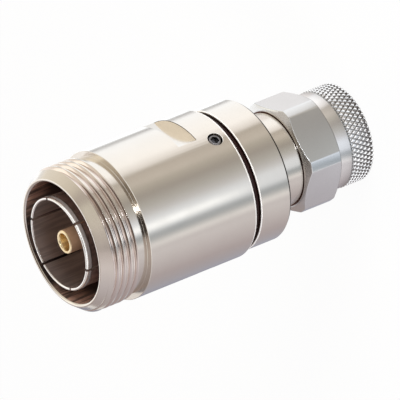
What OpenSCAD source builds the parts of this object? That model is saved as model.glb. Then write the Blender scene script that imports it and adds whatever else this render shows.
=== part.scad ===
// Coaxial adapter: a screw jack with a slotted outer contact at one end, a plug with a free-turning
// coupling nut at the other. It stands on the nut's end face, axis along +Z, jack upwards.
// All sizes are in millimetres.

/* [Coupling nut] */
// Length of the coupling nut
nut_l = 16.5; // [15:0.1:20]
// Diameter over the knurled grip
grip_d = 20; // [18.6:0.1:22]
// Length of the knurled grip
grip_l = 5.4; // [4:0.1:6.5]
// Chamfer at both ends of the grip
grip_chamfer = 0.15; // [0.1:0.05:0.8]
// Diameter of the plain collar behind the grip
collar_d = 19.7; // [18.6:0.1:22]
// Length of the plain collar
collar_l = 2.5; // [1:0.1:3.5]
// Width of the hexagon across its flats
hex_af = 21; // [20:0.1:23]
// Diameter that the hexagon's corners are turned down to
hex_corner_d = 23.2; // [22:0.1:26]
// Angle of the hexagon that puts one flat at the front
hex_turn = 3.6; // [0:0.1:60]
// Diameter of the flat ring on the nut's rear face
nut_face_d = 20.1; // [19:0.1:22]
// Slope of the chamfer on the hexagon's rear corners, in degrees
rear_slope = 25; // [20:1:45]
// Slope of the chamfer between the collar and the hexagon, in degrees
front_slope = 26; // [15:1:45]
// Bore of the coupling thread
coupling_bore_d = 14.9; // [14.2:0.1:16]
// Lead-in chamfer at the mouth of the coupling thread
coupling_lead = 0.6; // [0.2:0.1:1]
// Diameter of the thread's run-out groove
runout_d = 16.4; // [15.6:0.1:17.4]
// Length of the thread's run-out groove
runout_l = 2.6; // [1.5:0.1:4]

/* [Plug body] */
// Diameter of the nose that the nut turns on
nose_d = 14; // [13:0.1:15]
// Length of the nose below the neck
nose_l = 5; // [4.4:0.1:6]
// Diameter of the neck behind the nut
neck_d = 19; // [17:0.1:22]
// Length of the neck
neck_l = 6.15; // [5:0.05:9]
// Chamfer on the neck's edge beside the nut
neck_chamfer = 0.1; // [0.05:0.05:0.4]
// Depth of the marking band below the barrel's surface
band_step = 0.66; // [0.2:0.02:1.2]
// Length of the marking band
band_l = 7.1; // [5:0.1:10]
// Chamfer on the band's rear edge
band_chamfer = 0.45; // [0.1:0.05:0.6]
// Length of the threaded spigot inside the barrel
spigot_l = 12.05; // [9:0.05:14]
// Bore that holds the plug's outer contact
plug_bore_d = 9.5; // [8.8:0.1:10.4]
// Depth of that bore from the nose's face
plug_bore_l = 10.3; // [8.5:0.1:11.5]
// Depth of the wide line chamber from the spigot's end
chamber_l = 16; // [13:0.1:17.5]

/* [Jack body] */
// Diameter of the barrel
barrel_d = 30; // [28:0.1:36]
// Length of the barrel
barrel_l = 24.95; // [21:0.05:32]
// Chamfer on the barrel's rear edge
barrel_chamfer = 0.55; // [0.1:0.05:0.8]
// Broken edge at the front of the barrel and of the marking band
edge_break = 0.1; // [0.05:0.05:0.3]
// Wall of the barrel round the spigot
joint_wall = 3; // [2.4:0.1:3.6]
// Width of the seam that the sealing ring closes
seam_w = 1.5; // [0.8:0.1:2]
// Depth of each wrench flat
flat_depth = 1.85; // [0.8:0.05:2]
// Width of each wrench flat along the axis
flat_w = 4.2; // [3:0.1:6]
// Distance of the wrench flats from the barrel's rear end
flat_setback = 6.5; // [5.2:0.1:9]
// Length of the undercut behind the thread
undercut_l = 2.25; // [1.5:0.05:4]
// Depth of the undercut below the thread's crests
undercut_depth = 0.7; // [0.4:0.05:1.4]
// Outside diameter of the jack's thread
thread_d = 29; // [27:0.1:30]
// Length of the jack's thread
thread_l = 5.95; // [4:0.05:9]
// Length of the chamfer at the back of the thread
run_in_l = 0.3; // [0.2:0.05:1]
// Pitch of the jack's thread
thread_pitch = 1.5; // [1:0.25:2]
// Depth of the thread's grooves
thread_depth = 0.9; // [0.4:0.05:1]
// Width of the thread's crests
crest_w = 0.25; // [0.1:0.05:0.4]
// Width of the thread's roots
root_w = 0.2; // [0.1:0.05:0.4]
// Length of the lead-in cone in front of the thread
lead_l = 2.1; // [1:0.1:3]
// Drop of the lead-in cone below the thread's crests
lead_drop = 1.6; // [1:0.1:1.8]
// Wall of the threaded collar round its recess
collar_wall = 2.25; // [2:0.05:2.8]
// Depth of the recess between the collar and the slotted sleeve
recess_l = 9.4; // [7:0.1:12]
// Bevel on the recess's mouth
recess_bevel = 0.25; // [0.05:0.05:0.35]

/* [Jack contacts] */
// Outside diameter of the slotted sleeve's fingers
sleeve_root_d = 18.4; // [17.8:0.1:20]
// Height of the thicker tip above the fingers
tip_step = 0.2; // [0.05:0.05:0.5]
// Length of the thicker tip
sleeve_tip_l = 1.1; // [0.5:0.1:2]
// Wall of the sleeve's fingers
finger_wall = 0.4; // [0.3:0.05:0.7]
// Bevel on the edges of both sleeves' tips
tip_bevel = 0.12; // [0.05:0.01:0.2]
// Height of the sleeve's tip above the collar
sleeve_proud = 0.65; // [0.2:0.05:2]
// Number of slots in the sleeve
slots = 6; // [4:1:8]
// Width of each slot
slot_w = 0.55; // [0.3:0.05:0.8]
// Depth of each slot from the tip
slot_l = 8.6; // [6:0.1:9.4]
// Angle of the first slot round the axis
slot_turn = 10.5; // [0:0.5:60]
// Diameter of the sleeve's base in the barrel
sleeve_base_d = 20; // [19:0.1:22]
// Length of the sleeve's base
sleeve_base_l = 3.3; // [2.5:0.1:4.5]
// Inside diameter of the line between the two ends
line_d = 16; // [14:0.1:16.8]
// Outside diameter of the centre socket
socket_d = 4.7; // [4.2:0.1:5.4]
// Bore of the centre socket
socket_bore_d = 3.4; // [3:0.1:3.6]
// Depth of the socket's bore
socket_bore_l = 8.2; // [6:0.1:8.4]
// Bevel at the mouth of the socket, inside and outside
socket_bevel = 0.15; // [0.05:0.05:0.25]
// Depth of the socket below the sleeve's tip
socket_recess = 1.25; // [0.5:0.05:3]

/* [Plug contacts] */
// Outside diameter of the plug's outer contact
contact_d = 8.15; // [7.8:0.05:8.4]
// Inside diameter of the plug's outer contact
contact_bore_d = 7; // [6.4:0.05:7.2]
// Depth of the outer contact's tip inside the nut
contact_recess = 2; // [1:0.1:3.5]
// Number of slots in the plug's outer contact
contact_slots = 4; // [2:1:6]
// Width of each slot in the plug's outer contact
contact_slot_w = 0.4; // [0.2:0.05:0.6]
// Depth of each slot in the plug's outer contact
contact_slot_l = 6; // [4:0.1:7]
// Diameter of the centre pin
pin_d = 0.94; // [0.8:0.02:1.2]
// Depth of the pin's tip inside the outer contact
pin_recess = 0.6; // [0.2:0.1:1.5]
// Depth of the pin's shoulder inside the outer contact
pin_shoulder = 5.26; // [4:0.02:6]
// Diameter of the pin behind its shoulder
pin_root_d = 2; // [1.8:0.05:2.4]

/* [Centre conductor] */
// Diameter of the rod between the socket and the pin
rod_d = 4.58; // [4:0.02:5.2]
// Distance of the rod's step from the chamber's floor
rod_step = 1; // [0.5:0.1:2]
// Diameter of the rod's neck in the front bead
rod_neck_d = 3; // [2.8:0.1:3.6]
// Diameter of the rod's front stud in the socket
rod_stud_d = 2.4; // [2:0.1:2.6]
// Length of the rod's front stud
rod_stud_l = 2.8; // [2:0.1:3.2]
// Diameter of the pin's neck in the rear bead
pin_neck_d = 1.4; // [1.3:0.05:1.6]
// Diameter of the pin's stud in the rod
pin_stud_d = 1.2; // [1:0.05:1.25]
// Length of the pin's stud
pin_stud_l = 2.8; // [2:0.1:3.4]

/* [Beads, seals and fasteners] */
// Length of the front bead
bead_l = 3; // [2:0.1:4]
// Length of the rear bead
plug_bead_l = 2.5; // [2:0.1:3.5]
// Width of the sealing ring round the spigot
seal_w = 1.7; // [1.2:0.05:2.3]
// Chamfer on the sealing ring's edges
seal_chamfer = 0.25; // [0.05:0.05:0.3]
// Outside diameter of the gasket on the nose
gasket_d = 13.6; // [13:0.1:14.6]
// Inside diameter of the gasket
gasket_bore_d = 10; // [9.6:0.1:11]
// Thickness of the gasket
gasket_t = 1.2; // [0.8:0.1:1.8]
// Thickness of the snap ring
ring_t = 1; // [0.7:0.05:1.2]
// Depth of the snap ring's groove in the nose
ring_seat = 0.75; // [0.5:0.05:1]
// Depth of the snap ring's groove in the nut
ring_reach = 0.9; // [0.6:0.05:1]
// Gap between the snap ring's ends
ring_gap = 2; // [1:0.1:4]
// Distance of the snap ring from the neck
ring_setback = 2.4; // [1.8:0.1:2.8]
// Diameter of the locking screw
screw_d = 3; // [2:0.1:4]
// Distance of the locking screw from the barrel's rear end
screw_setback = 3; // [2.4:0.1:3.2]
// Angle of the locking screw round the axis
screw_turn = -33.8; // [-60:0.1:60]
// Depth of the locking screw below the barrel's surface
screw_recess = 0.3; // [0.1:0.05:0.8]
// Width of the locking screw's hexagon socket across its flats
screw_key = 1.5; // [0.9:0.05:2]
// Depth of the locking screw's hexagon socket
screw_key_l = 1.3; // [0.8:0.05:1.5]
// Countersink round the locking screw
screw_countersink = 0.05; // [0.05:0.05:0.5]

/* [Clearances] */
// Gap between the nut's rear face and the neck
nut_end_gap = 0.2; // [0.1:0.05:0.8]
// Radial clearance between the nut and the nose
nut_clearance = 0.1; // [0.05:0.01:0.3]
// Clearance of the snap ring in its grooves
ring_clearance = 0.12; // [0.05:0.01:0.2]
// Radial clearance of pieces that are pressed or screwed together
fit_gap = 0.04; // [0.02:0.01:0.1]

/* [Hidden] */

$fn = 96;
over = 1;      // how far a cut runs past the face it opens
cone_l = 0.3;  // length of the small cones on pin and screw tips

nickel = [0.78, 0.75, 0.70];
gold = [0.85, 0.66, 0.33];
silvered = [0.82, 0.80, 0.77];
plastic = [0.94, 0.94, 0.92];
rubber = [0.10, 0.09, 0.09];
silicone = [0.55, 0.20, 0.14];
steel = [0.30, 0.29, 0.29];

// Stations along the axis, from the nut's end face upwards
z_collar = grip_l + collar_l;
z_hex = z_collar + (hex_corner_d - collar_d) / 2 * tan(front_slope);
z_neck = nut_l + nut_end_gap;
z_nose = z_neck - nose_l;
z_ring = z_neck - ring_setback - ring_t;
z_band = z_neck + neck_l;
z_seam = z_band + band_l;
z_barrel = z_seam + seam_w;
z_spigot = z_seam + spigot_l;
z_chamber = z_spigot - chamber_l;
z_plug_seat = z_nose + plug_bore_l;
z_plug_bead = z_plug_seat - plug_bead_l;
z_undercut = z_barrel + barrel_l;
z_thread = z_undercut + undercut_l;
z_lead = z_thread + thread_l;
z_mouth = z_lead + lead_l;
z_floor = z_mouth - recess_l;
z_base = z_floor - sleeve_base_l;
z_seat = z_base - bead_l;
z_tip = z_mouth + sleeve_proud;
z_socket = z_tip - socket_recess;
z_pin_tip = contact_recess + pin_recess;
z_pin_shoulder = contact_recess + pin_shoulder;

// Diameters that follow from the pieces round them
band_d = barrel_d - 2 * band_step;
spigot_d = barrel_d - 2 * joint_wall;
recess_d = thread_d - 2 * collar_wall;
undercut_d = thread_d - 2 * undercut_depth;
nut_lip_d = nose_d + 2 * nut_clearance;
ring_bore_d = nose_d - 2 * ring_seat + 2 * ring_clearance;
ring_d = nut_lip_d + 2 * ring_reach - 2 * ring_clearance;
sleeve_d = sleeve_root_d + 2 * tip_step;
finger_bore_d = sleeve_root_d - 2 * finger_wall;
rear_chamfer_l = (hex_corner_d - nut_face_d) / 2 * tan(rear_slope);

// Grooves of the thread from its run-in on; the last one runs out in the lead-in cone
thread_turns = round((thread_l - run_in_l) / thread_pitch);
z_groove = z_thread + run_in_l + (crest_w + thread_pitch) / 2;

// A turned form from its half outline, given as [radius, height] points
module turned(outline) {
    rotate_extrude() polygon(outline);
}

// A round bar or bore between two heights
module bar(d, z0, z1) {
    translate([0, 0, z0]) cylinder(d = d, h = z1 - z0);
}

// A bar with a chamfer c0 on its lower edge and c1 on its upper one
module chamfered_bar(d, z0, z1, c0, c1) {
    r = d / 2;
    turned([[0, z0], [r - c0, z0], [r, z0 + c0], [r, z1 - c1], [r - c1, z1], [0, z1]]);
}

// Slots of one width through a sleeve's wall, out past its end
module wall_slots(count, turn, width, reach, z0, z1) {
    for (i = [0 : count - 1])
        rotate(turn + i * 360 / count)
            translate([0, -width / 2, z0])
                cube([reach, width, z1 - z0]);
}

// Places a form, drawn along +Z, on the radius that the locking screw lies on
module at_screw() {
    translate([0, 0, z_barrel + screw_setback])
        rotate([0, 90, screw_turn])
            children();
}

// One groove of the thread round the height z, drawn as a ring that opens out past the crests
module thread_groove(z) {
    root_r = thread_d / 2 - thread_depth;
    half_root = root_w / 2;
    slope = ((thread_pitch - crest_w) / 2 - half_root) / thread_depth;
    open_r = thread_d / 2 + over;
    half_open = half_root + slope * (open_r - root_r);
    turned([[root_r, z - half_root], [open_r, z - half_open],
            [open_r, z + half_open], [root_r, z + half_root]]);
}

// Barrel with wrench flats and the threaded collar, turned from one bar
module jack_body() {
    color(nickel)
    difference() {
        union() {
            chamfered_bar(barrel_d, z_barrel, z_undercut, barrel_chamfer, edge_break);
            bar(undercut_d, z_undercut - over, z_thread + over);
            turned([[0, z_thread], [undercut_d / 2, z_thread], [thread_d / 2, z_thread + run_in_l],
                    [thread_d / 2, z_lead], [thread_d / 2 - lead_drop, z_mouth], [0, z_mouth]]);
        }
        for (i = [0 : thread_turns - 1])
            thread_groove(z_groove + i * thread_pitch);
        bar(spigot_d + 2 * fit_gap, z_barrel - over, z_spigot);
        bar(line_d, z_spigot - over, z_seat + over);
        bar(sleeve_base_d + 2 * fit_gap, z_seat, z_floor + over);
        bar(recess_d, z_floor, z_mouth + over);
        turned([[0, z_mouth - recess_bevel], [recess_d / 2, z_mouth - recess_bevel],
                [recess_d / 2 + recess_bevel, z_mouth], [recess_d / 2 + recess_bevel, z_mouth + over],
                [0, z_mouth + over]]);
        for (side = [-1, 1])
            translate([side * barrel_d / 2, 0, z_barrel + flat_setback + flat_w / 2])
                cube([2 * flat_depth, barrel_d, flat_w], center = true);
        at_screw() {
            cylinder(d = screw_d, h = barrel_d);
            translate([0, 0, barrel_d / 2 - screw_countersink])
                cylinder(d1 = screw_d, d2 = screw_d + 4 * screw_countersink, h = 2 * screw_countersink);
        }
    }
}

// Sleeve with spring fingers that presses against the mating connector
module outer_contact() {
    color(silvered)
    difference() {
        turned([[line_d / 2, z_base], [sleeve_base_d / 2, z_base], [sleeve_base_d / 2, z_floor],
                [sleeve_root_d / 2, z_floor],
                [sleeve_root_d / 2, z_tip - sleeve_tip_l - 2 * tip_step],
                [sleeve_d / 2, z_tip - sleeve_tip_l], [sleeve_d / 2, z_tip - tip_bevel],
                [sleeve_d / 2 - tip_bevel, z_tip], [finger_bore_d / 2 + tip_bevel, z_tip],
                [finger_bore_d / 2, z_tip - tip_bevel],
                [finger_bore_d / 2, z_floor + (finger_bore_d - line_d) / 2], [line_d / 2, z_floor]]);
        wall_slots(slots, slot_turn, slot_w, sleeve_base_d, z_tip - slot_l, z_tip + over);
    }
}

// Closed-entry socket, screwed on the rod's front stud against the bead
module jack_contact() {
    color(gold)
    difference() {
        turned([[0, z_base], [socket_d / 2, z_base], [socket_d / 2, z_socket - socket_bevel],
                [socket_d / 2 - socket_bevel, z_socket], [0, z_socket]]);
        bar(rod_stud_d + 2 * fit_gap, z_base - over, z_base + rod_stud_l + fit_gap);
        bar(socket_bore_d, z_socket - socket_bore_l, z_socket + over);
        turned([[0, z_socket - socket_bevel], [socket_bore_d / 2, z_socket - socket_bevel],
                [socket_bore_d / 2 + socket_bevel, z_socket],
                [socket_bore_d / 2 + socket_bevel, z_socket + over], [0, z_socket + over]]);
    }
}

// Middle of the centre conductor, stepped where the line widens
module inner_rod() {
    color(gold)
    difference() {
        union() {
            bar(pin_root_d, z_plug_seat, z_chamber + rod_step + over);
            bar(rod_d, z_chamber + rod_step, z_seat);
            bar(rod_neck_d, z_seat - over, z_base);
            bar(rod_stud_d, z_base - over, z_base + rod_stud_l);
        }
        bar(pin_stud_d + 2 * fit_gap, z_plug_seat - over, z_plug_seat + pin_stud_l + fit_gap);
    }
}

// Disc that centres the rod behind the slotted sleeve
module front_bead() {
    color(plastic)
    difference() {
        bar(sleeve_base_d, z_seat, z_base);
        bar(rod_neck_d + 2 * fit_gap, z_seat - over, z_base + over);
    }
}

// Nose for the nut, neck, marking band and the spigot that screws into the barrel
module plug_body() {
    color(nickel)
    difference() {
        union() {
            bar(nose_d, z_nose, z_neck + over);
            chamfered_bar(neck_d, z_neck, z_band + neck_chamfer, neck_chamfer, neck_chamfer);
            chamfered_bar(band_d, z_band, z_seam, band_chamfer, edge_break);
            bar(spigot_d, z_seam - over, z_spigot);
        }
        bar(plug_bore_d + 2 * fit_gap, z_nose - over, z_plug_seat);
        bar(contact_bore_d, z_plug_seat - over, z_chamber + over);
        bar(line_d, z_chamber, z_spigot + over);
        difference() {
            bar(nose_d + over, z_ring - ring_clearance, z_ring + ring_t);
            bar(nose_d - 2 * ring_seat, z_ring - over, z_ring + ring_t + over);
        }
    }
}

// Ring that closes the seam between the band and the barrel
module housing_seal() {
    color(rubber)
    difference() {
        chamfered_bar(spigot_d + 2 * seal_w, z_seam, z_barrel, seal_chamfer, seal_chamfer);
        bar(spigot_d + 2 * fit_gap, z_seam - over, z_barrel + over);
    }
}

// Headless screw that keeps the spigot from turning in the barrel
module locking_screw() {
    r_point = spigot_d / 2 + fit_gap;
    r_head = barrel_d / 2 - screw_recess;
    color(steel)
    at_screw()
        difference() {
            union() {
                translate([0, 0, r_point])
                    cylinder(d1 = screw_d - 2 * cone_l, d2 = screw_d - 2 * fit_gap, h = cone_l);
                translate([0, 0, r_point + cone_l])
                    cylinder(d = screw_d - 2 * fit_gap, h = r_head - r_point - cone_l);
            }
            translate([0, 0, r_head - screw_key_l])
                cylinder(d = screw_key / cos(30), h = screw_key_l + over, $fn = 6);
        }
}

// Slotted sleeve of the plug, pressed into the nose against the bead
module plug_outer_contact() {
    color(silvered)
    difference() {
        union() {
            turned([[0, contact_recess], [contact_d / 2 - tip_bevel, contact_recess],
                    [contact_d / 2, contact_recess + tip_bevel], [contact_d / 2, z_nose + over],
                    [0, z_nose + over]]);
            bar(plug_bore_d, z_nose, z_plug_bead);
        }
        bar(contact_bore_d, contact_recess - over, z_plug_bead + over);
        wall_slots(contact_slots, hex_turn, contact_slot_w, contact_d,
                   contact_recess - over, contact_recess + contact_slot_l);
    }
}

// Centre pin of the plug, screwed into the rod through the bead
module plug_pin() {
    color(gold)
    turned([[0, z_pin_tip], [pin_d / 2 - cone_l / 2, z_pin_tip], [pin_d / 2, z_pin_tip + cone_l],
            [pin_d / 2, z_pin_shoulder], [pin_root_d / 2, z_pin_shoulder],
            [pin_root_d / 2, z_plug_bead], [pin_neck_d / 2, z_plug_bead],
            [pin_neck_d / 2, z_plug_seat], [pin_stud_d / 2, z_plug_seat],
            [pin_stud_d / 2, z_plug_seat + pin_stud_l], [0, z_plug_seat + pin_stud_l]]);
}

// Disc that centres the pin in the plug body
module plug_bead() {
    color(plastic)
    difference() {
        bar(plug_bore_d, z_plug_bead, z_plug_seat);
        bar(pin_neck_d + 2 * fit_gap, z_plug_bead - over, z_plug_seat + over);
    }
}

// Flat ring that the mating connector's rim presses on the nose
module plug_gasket() {
    color(silicone)
    difference() {
        bar(gasket_d, z_nose - gasket_t, z_nose);
        bar(gasket_bore_d, z_nose - gasket_t - over, z_nose + over);
    }
}

// Split ring that lets the nut turn and keeps it on the nose
module nut_snap_ring() {
    color(steel)
    difference() {
        bar(ring_d, z_ring, z_ring + ring_t);
        bar(ring_bore_d, z_ring - over, z_ring + ring_t + over);
        translate([0, -ring_gap / 2, z_ring - over])
            cube([ring_d, ring_gap, ring_t + 2 * over]);
    }
}

// Nut with a knurled grip and a hexagon, threaded inside, that turns on the nose
module coupling_nut() {
    lip_z = z_nose - nut_end_gap;
    runout_z = lip_z - runout_l;
    bore_r = coupling_bore_d / 2;
    runout_r = runout_d / 2;
    runout_slope = runout_r - bore_r;
    groove_d = nut_lip_d + 2 * ring_reach;
    color(nickel)
    difference() {
        union() {
            chamfered_bar(grip_d, 0, grip_l, grip_chamfer, grip_chamfer);
            bar(collar_d, grip_l - grip_chamfer - over, z_collar + over);
            intersection() {
                turned([[0, z_collar - over], [collar_d / 2, z_collar - over], [collar_d / 2, z_collar],
                        [hex_corner_d / 2, z_hex], [hex_corner_d / 2, nut_l - rear_chamfer_l],
                        [nut_face_d / 2, nut_l], [0, nut_l]]);
                rotate(hex_turn + 30)
                    translate([0, 0, z_collar - over])
                        cylinder(d = hex_af / cos(30), h = nut_l - z_collar + 2 * over, $fn = 6);
            }
        }
        turned([[0, -over], [bore_r + coupling_lead + over, -over], [bore_r, coupling_lead],
                [bore_r, runout_z], [runout_r, runout_z + runout_slope], [runout_r, lip_z], [0, lip_z]]);
        bar(nut_lip_d, lip_z - over, nut_l + over);
        bar(groove_d, z_ring - ring_clearance, z_ring + ring_t + ring_clearance);
    }
}

jack_body();
outer_contact();
jack_contact();
inner_rod();
front_bead();
plug_body();
housing_seal();
locking_screw();
plug_outer_contact();
plug_pin();
plug_bead();
plug_gasket();
nut_snap_ring();
coupling_nut();
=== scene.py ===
import math

import bmesh
import bpy
from mathutils import Matrix, Vector


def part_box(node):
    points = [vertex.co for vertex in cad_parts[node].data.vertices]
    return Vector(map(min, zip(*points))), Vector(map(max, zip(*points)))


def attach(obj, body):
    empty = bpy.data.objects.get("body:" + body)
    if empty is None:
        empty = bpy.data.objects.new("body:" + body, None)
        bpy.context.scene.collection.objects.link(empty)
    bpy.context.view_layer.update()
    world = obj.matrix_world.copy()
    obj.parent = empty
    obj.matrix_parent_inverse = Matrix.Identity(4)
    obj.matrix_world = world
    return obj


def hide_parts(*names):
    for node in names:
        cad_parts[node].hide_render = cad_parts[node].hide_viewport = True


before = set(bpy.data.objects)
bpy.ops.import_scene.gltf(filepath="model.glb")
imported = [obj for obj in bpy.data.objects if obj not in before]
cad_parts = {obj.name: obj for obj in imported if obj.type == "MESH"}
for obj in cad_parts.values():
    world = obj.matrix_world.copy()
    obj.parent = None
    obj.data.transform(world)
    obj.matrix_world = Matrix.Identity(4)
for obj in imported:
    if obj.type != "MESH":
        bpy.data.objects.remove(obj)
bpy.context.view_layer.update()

# Plug body: the nose that the nut turns on, the neck, the plain marking band and the spigot that
# screws into the barrel. It is turned from one brass bar, bored from both ends and plated in
# satin nickel, so fine turning marks run round it under the plate.
MM = 0.001            # the frame is in metres, the sizes below are in millimetres
ROUND = 144           # flat facets that a turned piece is drawn with
MERGE = 0.004 * MM    # points closer than this are one point
EDGE = 0.05           # how far the tool and the plating round a turned edge
SKIN = 0.02           # how far a face may lie from the size that it is picked by


def span(node):
    """Radius, lower end and upper end of a round CAD piece, in millimetres."""
    low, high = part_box(node)
    return [round(value / MM, 2) for value in (high.x, low.z, high.z)]


def take_up(piece):
    """Makes a piece the only one selected, as the operators need it."""
    bpy.ops.object.select_all(action="DESELECT")
    piece.select_set(True)
    bpy.context.view_layer.objects.active = piece


def drawn(name, outline):
    """Draws points of [radius, height] as a chain of edges, from one vertex on."""
    bpy.ops.object.select_all(action="DESELECT")
    bpy.ops.mesh.primitive_plane_add(size=MM)
    piece = bpy.context.object
    piece.name = piece.data.name = name
    bpy.ops.object.mode_set(mode="EDIT")
    bpy.ops.mesh.select_mode(type="VERT")
    bpy.ops.mesh.merge(type="CENTER")
    points = [Vector((radius, 0, height)) * MM for radius, height in outline]
    bpy.ops.transform.translate(value=points[0])
    for here, there in zip(points, points[1:]):
        bpy.ops.mesh.extrude_vertices_move(TRANSFORM_OT_translate={"value": there - here})
    bpy.ops.mesh.select_all(action="SELECT")
    return piece


def turned(name, outline):
    """Spins an outline round the axis and merges its seam and its poles."""
    piece = drawn(name, outline)
    bpy.ops.mesh.spin(steps=ROUND, angle=math.tau, center=(0, 0, 0), axis=(0, 0, 1))
    bpy.ops.mesh.select_all(action="SELECT")
    bpy.ops.mesh.remove_doubles(threshold=MERGE)
    bpy.ops.mesh.normals_make_consistent(inside=False)
    bpy.ops.object.mode_set(mode="OBJECT")
    return piece


def closed(outline):
    """The same outline, led back to its first point."""
    return outline + outline[:1]


def apply(piece, kind, **settings):
    """Adds a modifier with its settings and applies it."""
    take_up(piece)
    made = piece.modifiers.new(kind.lower(), kind)
    for name, value in settings.items():
        setattr(made, name, value)
    bpy.ops.object.modifier_apply(modifier=made.name)


def soften(piece, width, segments=2, above=25):
    """Rounds the edges that are sharper than an angle, as the tool and the plating leave them."""
    apply(piece, "BEVEL", width=width * MM, segments=segments, limit_method="ANGLE",
          angle_limit=math.radians(above), use_clamp_overlap=False)


def polish(piece, sharp_above=35):
    """Shades curved faces smooth and keeps flat ones flat."""
    take_up(piece)
    bpy.ops.object.shade_smooth_by_angle(angle=math.radians(sharp_above))
    apply(piece, "WEIGHTED_NORMAL", keep_sharp=True)


class Wire:
    """One socket of a finish's nodes. Sums, products and powers of wires become Math nodes."""

    def __init__(self, socket):
        self.socket = socket

    def node(self, kind, settings=None, values=None, output=None):
        """Adds a node: its settings first, then the values or wires of its sockets."""
        tree = self.socket.id_data
        made = tree.nodes.new("ShaderNode" + kind)
        for name, setting in (settings or {}).items():
            if name == "stops":
                Wire.set_stops(made.color_ramp.elements, setting)
            else:
                setattr(made, name, setting)
        for name, value in (values or {}).items():
            socket = Wire.pick(made.inputs, name)
            if isinstance(value, Wire):
                tree.links.new(value.socket, socket)
            else:
                socket.default_value = value
        return Wire(Wire.pick(made.outputs, output))

    @staticmethod
    def pick(sockets, name):
        """The socket of that name or number, or the first one in use."""
        if isinstance(name, int):
            return sockets[name]
        return next(s for s in sockets if s.enabled and name in (None, s.name))

    @staticmethod
    def set_stops(elements, stops):
        """Gives a ramp its stops, each a place and a colour."""
        while len(elements) < len(stops):
            elements.new(1)
        for element, (place, colour) in zip(elements, stops):
            element.position = place
            element.color = (*colour, 1)

    def also(self, output):
        """Another output of the node that this wire leaves."""
        return Wire(Wire.pick(self.socket.node.outputs, output))

    def feed(self, wire):
        """Leads a wire into this socket."""
        self.socket.id_data.links.new(wire.socket, self.socket)

    def maths(self, operation, *terms):
        """A Math node on some terms, each a wire or a number."""
        return self.node("Math", {"operation": operation}, dict(enumerate(terms)))

    def fade(self, start, end):
        """Goes smoothly from 0 at one value to 1 at another."""
        return self.node("MapRange", {"interpolation_type": "SMOOTHSTEP"},
                         {"Value": self, "From Min": start, "From Max": end}, "Result")

    def near(self, centre, outer, inner):
        """Is 1 within an inner distance of a centre, and goes to 0 at an outer one."""
        return self.maths("ABSOLUTE", self - centre).fade(outer, inner)

    def blend(self, first, second):
        """Goes from a first colour to a second one as this wire goes from 0 to 1."""
        ends = {name: (*tone, 1) if isinstance(tone, tuple) else tone
                for name, tone in (("A", first), ("B", second))}
        return self.node("Mix", {"data_type": "RGBA"}, {"Factor": self, **ends}, "Result")

    def __add__(self, other):
        return self.maths("ADD", self, other)

    __radd__ = __add__

    def __sub__(self, other):
        return self.maths("SUBTRACT", self, other)

    def __rsub__(self, other):
        return self.maths("SUBTRACT", other, self)

    def __mul__(self, other):
        return self.maths("MULTIPLY", self, other)

    __rmul__ = __mul__

    def __truediv__(self, other):
        return self.maths("DIVIDE", self, other)

    def __pow__(self, other):
        return self.maths("POWER", self, other)


def finish(name):
    """A new material, and the wire that its surface is fed by."""
    made = bpy.data.materials.new(name)
    made.use_nodes = True
    made.node_tree.nodes.clear()
    surface = made.node_tree.nodes.new("ShaderNodeOutputMaterial").inputs["Surface"]
    return made, Wire(surface)


def place_in_mm(end):
    """The piece's own coordinates, in millimetres."""
    place = end.node("TexCoord", output="Object")
    return end.node("VectorMath", {"operation": "SCALE"}, {"Vector": place, "Scale": 1 / MM})


def split(end, place):
    """The three coordinates of a place, and its distance from the axis."""
    x = end.node("SeparateXYZ", values={"Vector": place}, output="X")
    y = x.also("Y")
    return x, y, x.also("Z"), (x * x + y * y) ** 0.5


def noise(end, place, scale, detail=3.0):
    """Soft noise from 0 to 1, with about so many spots to a millimetre."""
    return end.node("TexNoise", values={"Vector": place, "Scale": scale, "Detail": detail})


def turned_metal(name, light, dark, gloss, groove=0.001):
    """A plated, turned metal: fine rings from the tool, and slow clouds in tone and gloss."""
    rings_per_mm, clouds_per_mm = 7, 0.22
    drift_x, drift_y = 0.2, 0.15      # how fast a ring changes on its way round
    ring_share, cloud_share = 0.35, 0.65
    made, surface = finish(name)
    place = place_in_mm(surface)
    x, y, z, radius = split(surface, place)
    rings = surface.node("CombineXYZ", values={
        "X": radius * rings_per_mm, "Y": z * rings_per_mm, "Z": x * drift_x + y * drift_y})
    marks = noise(surface, rings, 1.0)
    tone = marks * ring_share + noise(surface, place, clouds_per_mm) * cloud_share
    relief = surface.node("Bump", values={"Strength": 1.0, "Distance": groove * MM, "Height": marks})
    surface.feed(surface.node("BsdfPrincipled", values={
        "Base Color": tone.blend(light, dark), "Metallic": 1.0,
        "Roughness": gloss + (tone - 0.5) * 0.12, "Normal": relief}))
    return made


def wear_and_highlight_metal(name, light, dark):
    """A dull finish that scatters most of the light, used both for a face that handling has rubbed and for
    edges painted light as a highlight.
    """
    made, surface = finish(name)
    clouds = noise(surface, place_in_mm(surface), 0.5)
    surface.feed(surface.node("BsdfPrincipled", values={
        "Base Color": clouds.blend(light, dark), "Metallic": 0.3, "Roughness": 0.4 + clouds * 0.1}))
    return made


def from_axis(place):
    """Distance of a place from the axis."""
    return math.hypot(place.x, place.y)


def coat(piece, material, radii, heights):
    """Gives another finish to the faces whose middles lie within two radii and two heights."""
    piece.data.materials.append(material)
    for face in piece.data.polygons:
        middle = face.center / MM
        if radii[0] < from_axis(middle) < radii[1] and heights[0] < middle.z < heights[1]:
            face.material_index = len(piece.data.materials) - 1


nickel = turned_metal("satin_nickel", (0.72, 0.67, 0.605), (0.66, 0.61, 0.545), gloss=0.17, groove=0.0012)
# Two finishes painted on edges: a light one as a painted highlight, and a dark one as painted shade.
painted_highlight_edge = wear_and_highlight_metal("painted_highlight_edge", (0.87, 0.855, 0.83), (0.82, 0.805, 0.78))
shaded_edge = turned_metal("shaded_edge", (0.07, 0.058, 0.048), (0.045, 0.038, 0.032), gloss=0.4)

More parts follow.
